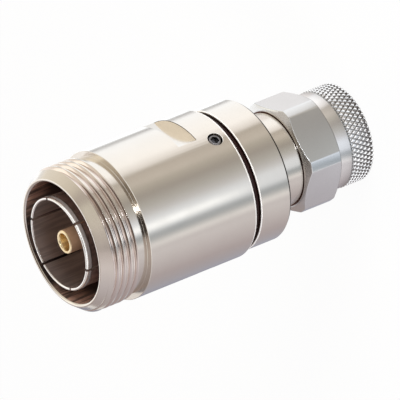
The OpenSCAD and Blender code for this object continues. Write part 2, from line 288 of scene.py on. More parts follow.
band_r, nose_z, spigot_z = span("plug_body")
_, seam_z, barrel_z = span("housing_seal")
nose_r = 7.0
neck_r, neck_z = 9.5, 16.6
band_z = 22.85
band_rear_drop, band_rear_l = 0.4, 0.5     # chamfer on the band's rear edge
band_front = 0.15                          # chamfer on its front edge
lip_r, lip_l = 13.75, 0.15                 # the band's front rim stands out over the seal
spigot_r = 12.0
plug_bore_r, plug_seat_z = 4.79, 22.0
line_r = 3.5
chamber_r, chamber_z = 8.0, 26.0
groove_r, groove_z0, groove_z1 = 6.25, 13.18, 14.3
rim_z = seam_z + lip_l

plug_body = turned("plug_body_turned", closed([
    (plug_bore_r, nose_z), (nose_r, nose_z), (nose_r, groove_z0), (groove_r, groove_z0),
    (groove_r, groove_z1), (nose_r, groove_z1), (nose_r, neck_z), (neck_r, neck_z),
    (neck_r, band_z), (band_r - band_rear_drop, band_z), (band_r, band_z + band_rear_l),
    (band_r, rim_z - band_front), (band_r - band_front, rim_z), (lip_r, rim_z), (lip_r, seam_z),
    (spigot_r, seam_z), (spigot_r, spigot_z), (chamber_r, spigot_z), (chamber_r, chamber_z),
    (line_r, chamber_z), (line_r, plug_seat_z), (plug_bore_r, plug_seat_z)]))
soften(plug_body, EDGE)
polish(plug_body)
plug_body.data.materials.append(nickel)
# The band's rear chamfer is painted dark as shade, and its front edge is painted light as a highlight.
coat(plug_body, shaded_edge, (band_r - band_rear_drop, band_r - SKIN),
     (band_z + SKIN, band_z + band_rear_l))
coat(plug_body, painted_highlight_edge, (band_r - band_front - SKIN, band_r + SKIN),
     (rim_z - band_front - 2 * SKIN, rim_z - SKIN))
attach(plug_body, "housing")
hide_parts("plug_body")

# Rear bead: a turned disc of waxy white plastic that centres the pin in the plug body.
# It lies at the bottom of the nose's bore, under the plug's outer contact.


def waxy_plastic(name, light, dark):
    """A dense white plastic, a little cloudy, that takes a dull shine from the tool."""
    made, surface = finish(name)
    clouds = noise(surface, place_in_mm(surface), 0.6, detail=4.0)
    surface.feed(surface.node("BsdfPrincipled", values={
        "Base Color": clouds.blend(light, dark), "Roughness": 0.42 + clouds * 0.15}))
    return made


def dress(node, material):
    """Gives a CAD piece, whose shape stays as it is, its finish."""
    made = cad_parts[node]
    made.data.materials.clear()
    made.data.materials.append(material)


bead_plastic = waxy_plastic("bead_plastic", (0.86, 0.85, 0.82), (0.78, 0.77, 0.73))
dress("plug_bead", bead_plastic)

# Centre pin and rod: two turned brass pieces, screwed together through the rear bead and plated
# with gold. The rod is the hidden middle of the line, and the pin shows inside the nut.
gold = turned_metal("satin_gold", (0.97, 0.82, 0.55), (0.92, 0.74, 0.44), gloss=0.30)
pin_root_r, pin_z, pin_end_z = span("plug_pin")
_, bead_z, _ = span("plug_bead")
pin_r, pin_shoulder_z = 0.47, 7.26
pin_neck_r, pin_stud_r = 0.7, 0.6
pin_cone = 0.3
pin_edge = 0.06

plug_pin = turned("plug_pin_turned", [
    (0, pin_z), (pin_r - pin_cone / 2, pin_z), (pin_r, pin_z + pin_cone), (pin_r, pin_shoulder_z),
    (pin_root_r, pin_shoulder_z), (pin_root_r, bead_z), (pin_neck_r, bead_z),
    (pin_neck_r, plug_seat_z), (pin_stud_r, plug_seat_z), (pin_stud_r, pin_end_z), (0, pin_end_z)])
soften(plug_pin, pin_edge)
polish(plug_pin)
plug_pin.data.materials.append(gold)
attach(plug_pin, "housing")
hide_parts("plug_pin")
dress("inner_rod", gold)

# Outer contact of the plug: a thin sleeve of spring brass with four slots, plated in white bronze
# and pressed into the nose against the bead. Its tip is eased to slide into the mating shell.
silvered = turned_metal("white_bronze", (0.88, 0.86, 0.82), (0.80, 0.77, 0.73), gloss=0.24)
press_r, contact_z, contact_end_z = span("plug_outer_contact")
contact_r = 4.075
contact_slots, contact_slot_w, contact_slot_l = 4, 0.4, 6.0
contact_turn = 3.6
tip_bevel = 0.12
saw_over = 1.0         # how far a saw runs past a sleeve's tip


def block(size, centre, turn=0.0):
    """A cutter's block of that size, with its centre at a place, turned round the axis."""
    bpy.ops.object.select_all(action="DESELECT")
    bpy.ops.mesh.primitive_cube_add(size=MM)
    made = bpy.context.object
    bpy.ops.object.mode_set(mode="EDIT")
    bpy.ops.transform.resize(value=size)
    bpy.ops.transform.translate(value=Vector(centre) * MM)
    bpy.ops.object.mode_set(mode="OBJECT")
    made.rotation_euler.z = math.radians(turn)
    bpy.ops.object.transform_apply(location=True, rotation=True, scale=True)
    return made


def cut(piece, cutter):
    """Takes a cutter's volume out of a piece."""
    apply(piece, "BOOLEAN", operation="DIFFERENCE", solver="EXACT", object=cutter)
    bpy.data.objects.remove(cutter)


def slot_wall(piece, count, turn, width, reach, z0, z1):
    """Saws slots through a sleeve's wall, evenly round it."""
    for i in range(count):
        size = (reach, width, z1 - z0)
        cut(piece, block(size, (reach / 2, 0, (z0 + z1) / 2), turn + i * 360 / count))


plug_contact = turned("plug_outer_contact_turned", closed([
    (line_r, contact_z), (contact_r - tip_bevel, contact_z), (contact_r, contact_z + tip_bevel),
    (contact_r, nose_z), (press_r, nose_z), (press_r, contact_end_z), (line_r, contact_end_z)]))
soften(plug_contact, EDGE)
slot_wall(plug_contact, contact_slots, contact_turn, contact_slot_w, 2 * contact_r,
          contact_z - saw_over, contact_z + contact_slot_l)
polish(plug_contact)
plug_contact.data.materials.append(silvered)
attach(plug_contact, "housing")
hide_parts("plug_outer_contact")

# Gasket: a flat ring of red silicone on the nose, which the mating shell's rim presses on.
# It is moulded, so its edges are soft and its face is dull.


def moulded_rubber(name, light, dark, gloss, shine=0.5):
    """A moulded rubber: dull, faintly mottled, with the mould's fine grain."""
    grain_h = 0.01
    made, surface = finish(name)
    place = place_in_mm(surface)
    grain = noise(surface, place, 9.0)
    mottle = noise(surface, place, 1.1)
    relief = surface.node("Bump", values={"Strength": 0.6, "Distance": grain_h * MM, "Height": grain})
    surface.feed(surface.node("BsdfPrincipled", values={
        "Base Color": mottle.blend(light, dark), "Roughness": gloss + grain * 0.15,
        "Specular IOR Level": shine, "Normal": relief}))
    return made


silicone = moulded_rubber("red_silicone", (0.46, 0.10, 0.06), (0.34, 0.06, 0.04), gloss=0.5)
gasket_r, gasket_z, _ = span("plug_gasket")
gasket_bore_r = 5.0
gasket_edge = 0.18
gasket = turned("plug_gasket_moulded", closed([
    (gasket_bore_r, gasket_z), (gasket_r, gasket_z), (gasket_r, nose_z), (gasket_bore_r, nose_z)]))
soften(gasket, gasket_edge, segments=3)
polish(gasket)
gasket.data.materials.append(silicone)
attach(gasket, "housing")
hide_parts("plug_gasket")

# Snap ring: a split ring of spring steel, sprung into the grooves of nose and nut. It keeps the
# nut on and lets it turn, and it can't be seen once the nut is on.
dress("nut_snap_ring", turned_metal("spring_steel", (0.60, 0.59, 0.58), (0.50, 0.49, 0.48), gloss=0.34))

# Coupling nut: one brass piece with a diamond-knurled grip, a plain collar and a hexagon, threaded
# inside. It is turned, milled on six sides, rolled with the knurl and plated in satin nickel.
_, _, nut_z = span("coupling_nut")
hex_flat_r, hex_corner_r, hex_turn = 10.5, 11.56, 3.6
hex_z0, hex_z1 = 8.754, 15.777
hex_edge_w, hex_edge_r = 0.15, 9.9         # width of its broken edges, which all lie outside a radius
nut_face_r = 10.05
painted_shade_r = 9.75                             # painted shade lies in the corner between the nut and the neck
collar_r, collar_z = 9.85, 7.9
knurl_root_r, knurl_crest_r = 9.72, 10.0
knurl_z1 = 4.9
knurl_count, knurl_rows, knurl_l, knurl_slope = 63, 4, 1.7, 0.25
relief_r, relief_z = knurl_root_r - 0.14, knurl_z1 + 0.1     # the groove that the knurl runs out in
relief_z1, collar_z0 = knurl_z1 + 0.2, knurl_z1 + 0.26
end_face_r = knurl_root_r - 0.1
coupling_r, coupling_lead = 7.45, 0.6
coupling_pitch, coupling_depth, coupling_turns = 1.058, 0.5, 9
half_mouth, half_root = 0.46, 0.13         # half widths of the thread's groove
tool_over = 0.04                           # how far the thread's tool stands out of the bore
runout_r, runout_z, lip_z = 8.2, 8.9, 11.5
nut_lip_r = 7.1
nut_groove_r, nut_groove_z1 = 8.0, 14.42


def pick_edges(piece, wanted):
    """Selects, in edit mode, the edges for which wanted(edge, its middle in millimetres) holds."""
    bpy.ops.object.mode_set(mode="EDIT")
    bpy.ops.mesh.select_mode(type="EDGE")
    bpy.ops.mesh.select_all(action="DESELECT")
    mesh = bmesh.from_edit_mesh(piece.data)
    for edge in mesh.edges:
        middle = (edge.verts[0].co + edge.verts[1].co) / (2 * MM)
        edge.select_set(wanted(edge, middle))
    bmesh.update_edit_mesh(piece.data)


def sharp(edge, degrees):
    """True for an edge whose two faces meet at more than an angle."""
    return len(edge.link_faces) == 2 and edge.calc_face_angle() > math.radians(degrees)


# The nut is turned without its grip, from the collar's foot over the hexagon and the bore to the rim.
nut = turned("coupling_nut_milled", [
    (relief_r, relief_z), (knurl_root_r, relief_z1), (collar_r, collar_z0), (collar_r, collar_z),
    (hex_corner_r, hex_z0), (hex_corner_r, hex_z1), (nut_face_r, nut_z), (painted_shade_r, nut_z),
    (nut_lip_r, nut_z), (nut_lip_r, nut_groove_z1), (nut_groove_r, nut_groove_z1),
    (nut_groove_r, groove_z0), (nut_lip_r, groove_z0), (nut_lip_r, lip_z), (runout_r, lip_z),
    (runout_r, runout_z + runout_r - coupling_r), (coupling_r, runout_z), (coupling_r, coupling_lead),
    (coupling_r + coupling_lead, 0), (end_face_r, 0)])
take_up(nut)
bpy.ops.object.mode_set(mode="EDIT")
for side in range(6):
    angle = math.radians(hex_turn + 60 * side)
    outward = Vector((math.cos(angle), math.sin(angle), 0))
    bpy.ops.mesh.select_all(action="SELECT")
    bpy.ops.mesh.bisect(plane_co=outward * hex_flat_r * MM, plane_no=outward, use_fill=True,
                        clear_outer=True, threshold=MERGE)
bpy.ops.object.mode_set(mode="OBJECT")
pick_edges(nut, lambda edge, middle: middle.z >= collar_z - SKIN / 2
           and from_axis(middle) > hex_edge_r and sharp(edge, 15))
bpy.ops.mesh.bevel(offset=hex_edge_w * MM, segments=3, affect="EDGES", clamp_overlap=False)
bpy.ops.object.mode_set(mode="OBJECT")

# The grip starts as rows of plain rectangles. Poking each one and dissolving the straight edges leaves
# diamonds, which are then raised and cut off level with the grip's two ends.
bpy.ops.object.select_all(action="DESELECT")
bpy.ops.mesh.primitive_cylinder_add(vertices=knurl_count, radius=knurl_root_r * MM,
                                    depth=knurl_rows * knurl_l * MM, end_fill_type="NOTHING")
grip = bpy.context.object
bpy.ops.object.mode_set(mode="EDIT")
bpy.ops.transform.translate(value=(0, 0, knurl_z1 / 2 * MM))
bpy.ops.object.mode_set(mode="OBJECT")
pick_edges(grip, lambda edge, middle: abs(edge.verts[0].co.z - edge.verts[1].co.z) > MM)
bpy.ops.mesh.subdivide(number_cuts=knurl_rows - 1)
bpy.ops.mesh.select_mode(type="FACE")
bpy.ops.mesh.select_all(action="SELECT")
bpy.ops.mesh.poke()
bpy.ops.object.mode_set(mode="OBJECT")
pick_edges(grip, lambda edge, middle: len(edge.link_faces) == 2
           and all(len(v.link_edges) > 4 for v in edge.verts))
bpy.ops.mesh.dissolve_edges(use_verts=False)
pick_edges(grip, lambda edge, middle: len(edge.link_faces) == 1)
bpy.ops.mesh.subdivide(number_cuts=1)
bpy.ops.mesh.select_all(action="DESELECT")
bpy.ops.mesh.select_mode(type="FACE")
bpy.ops.mesh.select_face_by_sides(number=4, type="EQUAL")
bpy.ops.mesh.inset(use_individual=True, thickness=knurl_slope * MM,
                   depth=(knurl_crest_r - knurl_root_r) * MM)
for height, downward in ((0, True), (knurl_z1, False)):
    bpy.ops.mesh.select_all(action="SELECT")
    bpy.ops.mesh.bisect(plane_co=(0, 0, height * MM), plane_no=(0, 0, 1), clear_inner=downward,
                        clear_outer=not downward, threshold=MERGE)
bpy.ops.object.mode_set(mode="OBJECT")

take_up(nut)
grip.select_set(True)
bpy.ops.object.join()
# At both of its ends the grip's open rim is joined to the nut's, which lies within a millimetre of it.
for end in (0, knurl_z1):
    pick_edges(nut, lambda edge, middle: len(edge.link_faces) == 1 and abs(middle.z - end) < 1)
    bpy.ops.mesh.bridge_edge_loops()
    bpy.ops.object.mode_set(mode="OBJECT")
bpy.ops.object.mode_set(mode="EDIT")
bpy.ops.mesh.select_all(action="SELECT")
bpy.ops.mesh.normals_make_consistent(inside=False)
bpy.ops.object.mode_set(mode="OBJECT")


def helix_cutter(profile, pitch, turns):
    """A thread tool's path: a closed profile, swept up a right-handed helix and capped."""
    cutter = drawn("thread_tool", closed(profile))
    bpy.ops.mesh.remove_doubles(threshold=MERGE)
    bpy.ops.object.mode_set(mode="OBJECT")
    apply(cutter, "SCREW", angle=math.tau, screw_offset=pitch * MM, iterations=turns, steps=ROUND,
          render_steps=ROUND, use_merge_vertices=False, use_smooth_shade=False)
    bpy.ops.object.mode_set(mode="EDIT")
    bpy.ops.mesh.select_all(action="SELECT")
    bpy.ops.mesh.remove_doubles(threshold=MERGE / 10)
    bpy.ops.mesh.select_all(action="DESELECT")
    bpy.ops.mesh.select_mode(type="EDGE")
    bpy.ops.mesh.select_non_manifold()
    bpy.ops.mesh.edge_face_add()
    bpy.ops.mesh.select_all(action="SELECT")
    bpy.ops.mesh.normals_make_consistent(inside=False)
    bpy.ops.object.mode_set(mode="OBJECT")
    return cutter


def knurled_metal(name, crest, root):
    """A rolled knurl: its points are lighter, partly rubbed bright and partly a painted highlight, and its
    grooves are darker, partly dirt and partly painted shade.
    """
    dirt_and_shade_h = 0.16
    made, surface = finish(name)
    _, _, _, radius = split(surface, place_in_mm(surface))
    surface.feed(surface.node("BsdfPrincipled", values={
        "Base Color": radius.fade(knurl_root_r, knurl_root_r + dirt_and_shade_h).blend(root, crest), "Metallic": 1.0,
        "Roughness": 0.34 - radius.fade(knurl_root_r, knurl_crest_r) * 0.1}))
    return made


cut(nut, helix_cutter([
    (coupling_r - tool_over, -half_mouth), (coupling_r + coupling_depth, -half_root),
    (coupling_r + coupling_depth, half_root), (coupling_r - tool_over, half_mouth)],
    coupling_pitch, coupling_turns))
polish(nut)
nut.data.materials.append(turned_metal("matt_nickel", (0.68, 0.68, 0.675), (0.61, 0.61, 0.605), gloss=0.22))
# The collar is painted lighter than the rest of the nut, as a painted highlight.
coat(nut, turned_metal("collar_nickel_painted_light", (0.80, 0.775, 0.75), (0.73, 0.705, 0.68), gloss=0.22),
     (collar_r - SKIN, collar_r + SKIN), (collar_z0, collar_z))
# The knurl's points are painted light and its grooves dark. This is partly wear and dirt and partly painted
# highlight and shade.
coat(nut, knurled_metal("knurled_nickel", (0.98, 0.97, 0.96), (0.44, 0.43, 0.42)),
     (knurl_root_r - SKIN, knurl_crest_r + SKIN), (SKIN / 2, knurl_z1))
# The nut's rear face next to the neck is painted dark reddish brown, as shade in the corner between the nut
# and the neck.
coat(nut, turned_metal("shade_painted_nickel", (0.15, 0.07, 0.05), (0.08, 0.035, 0.025), gloss=0.35),
     (nut_lip_r, painted_shade_r), (nut_z - SKIN, nut_z + SKIN))
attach(nut, "nut")
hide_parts("coupling_nut")

# Sealing ring: a black rubber ring round the spigot that fills the seam between band and barrel.
# It is squeezed as the two are screwed together, so its face bulges a little.
black_rubber = moulded_rubber("black_rubber", (0.022, 0.006, 0.005), (0.007, 0.003, 0.003),
                              gloss=0.3, shine=0.2)
seal_r, _, _ = span("housing_seal")
seal_bulge = 0.4
seal = turned("housing_seal_moulded", closed([
    (spigot_r, seam_z), (seal_r, seam_z), (seal_r, barrel_z), (spigot_r, barrel_z)]))
soften(seal, seal_bulge, segments=4)
polish(seal)
seal.data.materials.append(black_rubber)
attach(seal, "housing")
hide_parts("housing_seal")

# Jack body: the barrel with its two wrench flats, the undercut and the threaded collar, turned from
# one brass bar, milled on two sides, drilled for the locking screw and plated in satin nickel.
barrel_r, _, mouth_z = span("jack_body")
rear_flank, rear_l = (0.18, 0.17), 0.55    # rounded rear edge: drop and height half-way, and its length
front_drop, front_l = 0.04, 0.12           # the barrel's front edge
barrel_edge = 0.06
joint_r = 12.04
shoulder_z = 56.4
undercut_r, undercut_z1 = 13.8, 58.65
thread_r, thread_run_in, thread_z1 = 14.5, 0.3, 64.6
thread_pitch, thread_depth, thread_turns = 1.5, 0.68, 6
thread_start, thread_first = 105.5, 0.4    # where the groove starts: angle, and height over the undercut
thread_groove = [                          # height over the groove's bottom, and place along the axis
    (0.71, -0.78), (0.65, -0.66), (0.48, -0.48), (0.05, -0.22), (0, -0.12),
    (0, 0.03), (0.05, 0.13), (0.60, 0.46), (0.71, 0.56)]
thread_crest = 0.1                         # the crests keep the barrel's finish
mouth_r = 12.9
recess_r, recess_z, recess_bevel = 12.25, 57.3, 0.25
base_r, seat_z = 10.04, 51.0
flat_r, flat_z0, flat_z1 = 13.15, 37.95, 42.15
flat_edge = 0.08
screw_hole_r, screw_z, screw_turn = 1.5, 34.45, -33.8
screw_countersink = 0.1
screw_drill_r = spigot_r - 0.5             # the drill goes right through the wall


def at_screw(piece):
    """Lays a form, drawn along +Z, on the radius of the locking screw."""
    take_up(piece)
    piece.matrix_world = (Matrix.Translation((0, 0, screw_z * MM))
                          @ Matrix.Rotation(math.radians(screw_turn), 4, "Z")
                          @ Matrix.Rotation(math.radians(90), 4, "Y"))
    bpy.ops.object.transform_apply(location=True, rotation=True, scale=True)
    return piece


def bored_metal(name, light, dark, gloss, shade_heights, plated=1.0, side_shade=0.0):
    """A bored wall that the plating hardly reaches: brown, with light streaks along the bore painted as a
    reflection, painted shade on one side, and painted shade deep down, which thins out between two heights."""
    side_shade_turn, side_shade_tone = math.radians(115), (0.02, 0.015, 0.014)
    streaks_round, streaks_along = 14, 0.1
    made, surface = finish(name)
    x, y, z, radius = split(surface, place_in_mm(surface))
    along = surface.node("CombineXYZ", values={
        "X": x / radius * streaks_round, "Y": y / radius * streaks_round, "Z": z * streaks_along})
    streaks = noise(surface, along, 1.0, detail=4.0)
    # Deep down the wall is painted dark as shade, and its light streaks are a painted reflection. One side
    # is painted dark as shade too.
    colour = z.fade(*shade_heights).blend(dark, streaks.fade(0.38, 0.62).blend(light, dark))
    side = (x * math.cos(side_shade_turn) + y * math.sin(side_shade_turn)) / radius
    surface.feed(surface.node("BsdfPrincipled", values={
        "Base Color": (side.fade(0.6, 0.9) * side_shade).blend(colour, side_shade_tone), "Metallic": plated,
        "Roughness": gloss + streaks * 0.1}))
    return made


jack_body = turned("jack_body_turned", closed([
    (joint_r, barrel_z), (barrel_r - rear_l, barrel_z), (barrel_r - rear_flank[0], barrel_z + rear_flank[1]),
    (barrel_r, barrel_z + rear_l), (barrel_r, shoulder_z - front_l), (barrel_r - front_drop, shoulder_z),
    (undercut_r, shoulder_z), (undercut_r, undercut_z1), (thread_r, undercut_z1 + thread_run_in),
    (thread_r, thread_z1), (mouth_r, mouth_z), (recess_r + recess_bevel, mouth_z),
    (recess_r, mouth_z - recess_bevel), (recess_r, recess_z), (base_r, recess_z), (base_r, seat_z),
    (chamber_r, seat_z), (chamber_r, spigot_z), (joint_r, spigot_z)]))
soften(jack_body, barrel_edge)
for side in (-1, 1):
    cut(jack_body, block((2 * (barrel_r - flat_r), 3 * barrel_r, flat_z1 - flat_z0),
                         (side * barrel_r, 0, (flat_z0 + flat_z1) / 2)))
take_up(jack_body)
pick_edges(jack_body, lambda edge, middle: abs(middle.z - flat_z0) < SKIN / 2
           and from_axis(middle) > barrel_r - EDGE and sharp(edge, 60))
bpy.ops.mesh.bevel(offset=flat_edge * MM, segments=1, affect="EDGES", clamp_overlap=False)
bpy.ops.object.mode_set(mode="OBJECT")
cut(jack_body, at_screw(turned("screw_drill", [
    (0, screw_drill_r), (screw_hole_r, screw_drill_r), (screw_hole_r, barrel_r - screw_countersink),
    (screw_hole_r + 2 * screw_countersink, barrel_r + screw_countersink),
    (0, barrel_r + screw_countersink)])))
thread_tool = helix_cutter([(thread_r - thread_depth + rise, along) for rise, along in thread_groove],
                           thread_pitch, thread_turns)
thread_tool.location.z = (undercut_z1 + thread_first - thread_pitch) * MM
thread_tool.rotation_euler.z = math.radians(thread_start)
cut(jack_body, thread_tool)
polish(jack_body, sharp_above=16)
jack_body.data.materials.append(nickel)
# The barrel's rear edge and a ring round the screw hole are painted light as highlights. The edge along the
# flats is painted dark as shade.
coat(jack_body, painted_highlight_edge, (barrel_r - rear_flank[0] - SKIN, barrel_r),
     (barrel_z + EDGE, barrel_z + rear_l - SKIN / 2))
coat(jack_body, painted_highlight_edge, (barrel_r - 2 * screw_countersink, barrel_r - SKIN / 2),
     (screw_z - screw_hole_r - 2 * screw_countersink, screw_z + screw_hole_r + 2 * screw_countersink))
coat(jack_body, shaded_edge, (barrel_r - flat_edge, barrel_r - SKIN), (flat_z0 - flat_edge, flat_z0))
# The mouth's inside is brown, with light streaks painted as reflections, painted shade on one side and
# painted shade deep down.
coat(jack_body, bored_metal("bored_nickel", (0.98, 0.60, 0.46), (0.19, 0.12, 0.10), gloss=0.40,
                            shade_heights=(60, 64), plated=0.6, side_shade=0.9),
     (0, recess_r + SKIN), (0, mouth_z - 2 * recess_bevel))
coat(jack_body, turned_metal("thread_nickel", (0.75, 0.67, 0.62), (0.68, 0.60, 0.55), gloss=0.12),
     (undercut_r, thread_r - thread_crest), (undercut_z1 + thread_run_in, thread_z1 + thread_run_in))
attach(jack_body, "housing")
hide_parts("jack_body")

# Locking screw: a headless steel screw with a hexagon socket, blackened, set in the barrel's wall
# against the spigot so that the screwed joint can't turn back.
dark_steel = turned_metal("dark_steel", (0.34, 0.33, 0.34), (0.16, 0.155, 0.16), gloss=0.12, groove=0.002)
screw_gap = 0.04       # between the screw's foot and the spigot
screw_r, screw_foot_r, screw_head_r = 1.46, spigot_r + screw_gap, 14.7
screw_foot_cone = 0.3
screw_head_drop, screw_head_l = 0.35, 0.5
screw_key_r, screw_key_l = 0.75, 1.3
screw_edge = 0.04
screw = turned("locking_screw_turned", [
    (0, screw_foot_r), (screw_r - screw_foot_cone, screw_foot_r), (screw_r, screw_foot_r + screw_foot_cone),
    (screw_r, screw_head_r - screw_head_l), (screw_r - screw_head_drop, screw_head_r), (0, screw_head_r)])
bpy.ops.object.select_all(action="DESELECT")
bpy.ops.mesh.primitive_cylinder_add(vertices=6, radius=screw_key_r / math.cos(math.radians(30)) * MM,
                                    depth=2 * screw_key_l * MM, location=(0, 0, screw_head_r * MM))
key = bpy.context.object
bpy.ops.object.transform_apply(location=True, rotation=True, scale=True)
cut(screw, key)
soften(screw, screw_edge)
polish(screw)
at_screw(screw)
screw.data.materials.append(dark_steel)
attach(screw, "housing")
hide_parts("locking_screw")

# Front bead: the second disc of white plastic, turned to slide over the rod. It lies on the barrel's
# seat behind the slotted sleeve, which holds it there.
dress("front_bead", bead_plastic)

# Slotted sleeve: the jack's outer contact, a thin sleeve of spring brass with six fingers and a
# thicker tip, plated in white bronze and pressed into the barrel from the front.
_, sleeve_base_z, sleeve_tip_z = span("outer_contact")
sleeve_base_r = 10.0
finger_r, finger_bore_r, sleeve_tip_r = 9.2, 8.8, 9.4
sleeve_tip_l, sleeve_tip_slope, lead_in_l = 1.1, 0.4, 0.45
sleeve_slots, sleeve_slot_w, sleeve_slot_l, sleeve_turn = 6, 0.55, 8.6, 10.5
sleeve = turned("outer_contact_turned", closed([
    (chamber_r, sleeve_base_z), (sleeve_base_r, sleeve_base_z), (sleeve_base_r, recess_z),
    (finger_r, recess_z), (finger_r, sleeve_tip_z - sleeve_tip_l - sleeve_tip_slope),
    (sleeve_tip_r, sleeve_tip_z - sleeve_tip_l), (sleeve_tip_r, sleeve_tip_z - lead_in_l),
    (sleeve_tip_r - tip_bevel, sleeve_tip_z), (finger_bore_r + tip_bevel, sleeve_tip_z),
    (finger_bore_r, sleeve_tip_z - tip_bevel), (finger_bore_r, recess_z + finger_bore_r - chamber_r),
    (chamber_r, recess_z)]))
soften(sleeve, EDGE)
slot_wall(sleeve, sleeve_slots, sleeve_turn, sleeve_slot_w, 2 * sleeve_base_r,
          sleeve_tip_z - sleeve_slot_l, sleeve_tip_z + saw_over)
polish(sleeve)
# The sleeve's inside is a darker, browner copy of its white bronze. It is painted shade inside the mouth,
# darkest deep down.
sleeve.data.materials.append(bored_metal(
    "shade_painted_bronze", (0.58, 0.485, 0.445), (0.44, 0.365, 0.335), gloss=0.46, shade_heights=(50, 58)))
coat(sleeve, silvered, (finger_bore_r + SKIN, sleeve_tip_r + SKIN),
     (sleeve_tip_z - lead_in_l, sleeve_tip_z + SKIN))
coat(sleeve, wear_and_highlight_metal("rubbed_bronze", (0.30, 0.27, 0.255), (0.15, 0.13, 0.12)),
     (finger_r + EDGE, sleeve_tip_r + SKIN), (sleeve_tip_z - sleeve_tip_l, sleeve_tip_z - lead_in_l))
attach(sleeve, "housing")
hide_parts("outer_contact")

# Centre socket: a closed-entry socket of gold-plated brass, bored for the mating pin and screwed
# on the rod's front stud against the bead.
socket_r, _, socket_z = span("jack_contact")
socket_bore_r, socket_floor_z = 1.7, 57.9
socket_bevel = 0.15
stud_hole_r, stud_hole_z = 1.24, 56.84
ring_count, ring_l, ring_depth, ring_step = 7, 0.4, 0.09, 0.02     # rings that the borer left


def rubbed_metal(name, light, dark):
    """A thin plating, rubbed dull by the mating contact, that scatters half of the light."""
    made, surface = finish(name)
    clouds = noise(surface, place_in_mm(surface), 1.4)
    surface.feed(surface.node("BsdfPrincipled", values={
        "Base Color": clouds.blend(light, dark), "Metallic": 0.5, "Roughness": 0.4 + clouds * 0.15}))
    return made


bore_rings = []
for i in range(ring_count):
    ring_z = socket_z - socket_bevel / 2 - i * ring_l
    bore_rings += [(socket_bore_r + ring_depth, ring_z), (socket_bore_r, ring_z - ring_l + ring_step)]
socket = turned("jack_contact_turned", [
    (0, stud_hole_z), (stud_hole_r, stud_hole_z), (stud_hole_r, sleeve_base_z), (socket_r, sleeve_base_z),
    (socket_r, socket_z - socket_bevel), (socket_r - socket_bevel, socket_z),
    (socket_bore_r + socket_bevel, socket_z), *bore_rings,
    (socket_bore_r, socket_floor_z), (0, socket_floor_z)])
polish(socket)
socket.data.materials.append(gold)
coat(socket, rubbed_metal("rubbed_gold", (0.58, 0.37, 0.24), (0.46, 0.28, 0.17)),
     (socket_r - SKIN, socket_r + SKIN), (sleeve_base_z, socket_z))
coat(socket, turned_metal("bore_gold", (0.78, 0.62, 0.38), (0.72, 0.55, 0.31), gloss=0.26),
     (0, socket_bore_r + ring_depth), (0, socket_z - socket_bevel / 2))
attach(socket, "housing")
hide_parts("jack_contact")

# Table: a white sheet that the adapter stands on. It is white to the camera and in the metal, and it
# still takes a faint shadow.
table_size = 4.0
paper_tone = (0.8, 0.8, 0.8)
whiteness = 0.94
bpy.ops.object.select_all(action="DESELECT")
bpy.ops.mesh.primitive_plane_add(size=table_size)
table = bpy.context.object
table.name = "table"
paper, surface = finish("white_paper")
rays = surface.node("LightPath", output="Is Camera Ray")
mirrored = rays.maths("MAXIMUM", rays.also("Is Glossy Ray"), rays.also("Is Transmission Ray"))
surface.feed(surface.node("MixShader", values={
    0: rays.maths("MAXIMUM", rays, mirrored) * whiteness,
    1: surface.node("BsdfDiffuse", values={"Color": (*paper_tone, 1)}),
    2: surface.node("Emission", values={"Color": (1, 1, 1, 1), "Strength": 1.0})}))
table.data.materials.append(paper)

# Bounce card: a round card on the table, seen only in the metal. Its tones change round the adapter,
# and they give the barrel its long light and dark bands.
view_turn = -64.5      # direction from the axis to the camera, in degrees round the axis
card_r, card_z = 500.0, 0.05
card_tones = [         # each at its angle from the camera's side
    (-180, (0.20, 0.21, 0.26)), (-158, (0.36, 0.36, 0.43)), (-140, (0.46, 0.46, 0.53)),
    (-105, (0.56, 0.51, 0.54)), (-64, (0.81, 0.79, 0.83)), (-57, (0.76, 0.74, 0.78)),
    (-50, (1.06, 1.06, 1.09)), (-42, (0.55, 0.59, 0.63)), (-36, (0.45, 0.50, 0.55)),
    (-29, (0.96, 1.03, 1.13)), (-15, (1.00, 1.07, 1.17)), (-5, (0.74, 0.75, 0.78)),
    (5, (0.60, 0.60, 0.58)), (19, (0.47, 0.44, 0.41)), (30, (0.60, 0.57, 0.51)),
    (38, (0.76, 0.71, 0.65)), (49, (0.68, 0.63, 0.57)), (53, (0.56, 0.52, 0.46)),
    (57, (1.05, 1.02, 1.00)), (72, (1.40, 1.41, 1.43)), (120, (1.34, 1.40, 1.48)),
    (134, (0.52, 0.52, 0.53)), (146, (1.65, 1.75, 1.85)), (172, (0.90, 0.90, 0.95))]
strip_turn, strip_half, strip_reach = -24, 9, (66, 88)          # a bright strip far out on the card
strip_tone, strip_share = (1.75, 1.85, 1.95), 0.7
grey_turn, grey_half, grey_reach = 115, 26, (48, 36)            # a greyer field close to the nut
grey_tone = (1.12, 1.09, 1.09)
under_part, under_tone = (9, 21), (0.10, 0.085, 0.08)           # the shade under the adapter


def from_view(end, x, y):
    """Angle round the axis from the camera's side, in degrees, from -180 to 180."""
    turn = end.maths("ARCTAN2", y, x) * (180 / math.pi) - view_turn
    return end.maths("FRACT", turn / 360 + 0.5) * 360 - 180


def ring_of_tones(end, turn, tones):
    """Tones that follow one another round the axis, each at its angle."""
    stops = [(angle / 360 + 0.5, tone) for angle, tone in tones]
    return end.node("ValToRGB", {"stops": stops}, {"Fac": turn / 360 + 0.5}, "Color")


